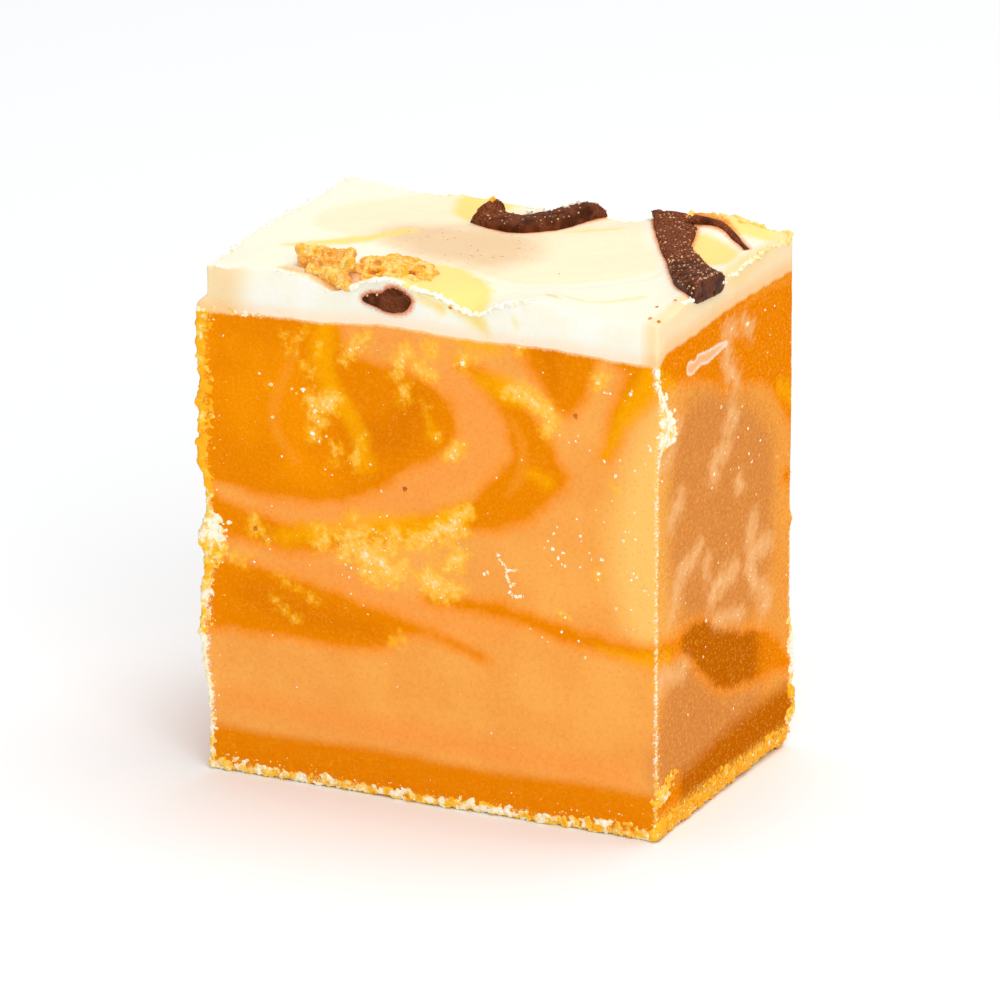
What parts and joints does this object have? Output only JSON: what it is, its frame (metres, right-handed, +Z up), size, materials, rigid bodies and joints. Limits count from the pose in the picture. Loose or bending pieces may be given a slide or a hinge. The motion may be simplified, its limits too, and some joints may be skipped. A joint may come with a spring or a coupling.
{
  "type": "fudge cube",
  "caption": "Cut block of marbled caramel fudge on a toffee base, under a white fudge layer with chocolate drizzle and honeycomb crumbs on its uneven top.",
  "frame": {"origin": "under the middle of the block, on the surface that it stands on", "axes": "+Z up; +X along the cut front to the right; +Y from the cut front to the back"},
  "size_m": [0.0415, 0.0262, 0.0453],
  "materials": {
    "toffee": "dense satin toffee fudge with a grainy foot",
    "caramel": "satin fudge marbled in light and amber caramel, with pale sugar crystals",
    "white_fudge": "satin cream fudge with soft swirls",
    "chocolate": "satin dark chocolate with sugar grains",
    "honeycomb": "rough, crumbly honeycomb toffee"
  },
  "bodies": {
    "root": {"toffee_base": "toffee", "caramel_body": "caramel", "white_layer": "white_fudge", "chocolate_back": "chocolate", "chocolate_right": "chocolate", "chocolate_front": "chocolate", "honeycomb_nugget": "honeycomb", "honeycomb_crumble": "honeycomb"}
  },
  "joints": []
}
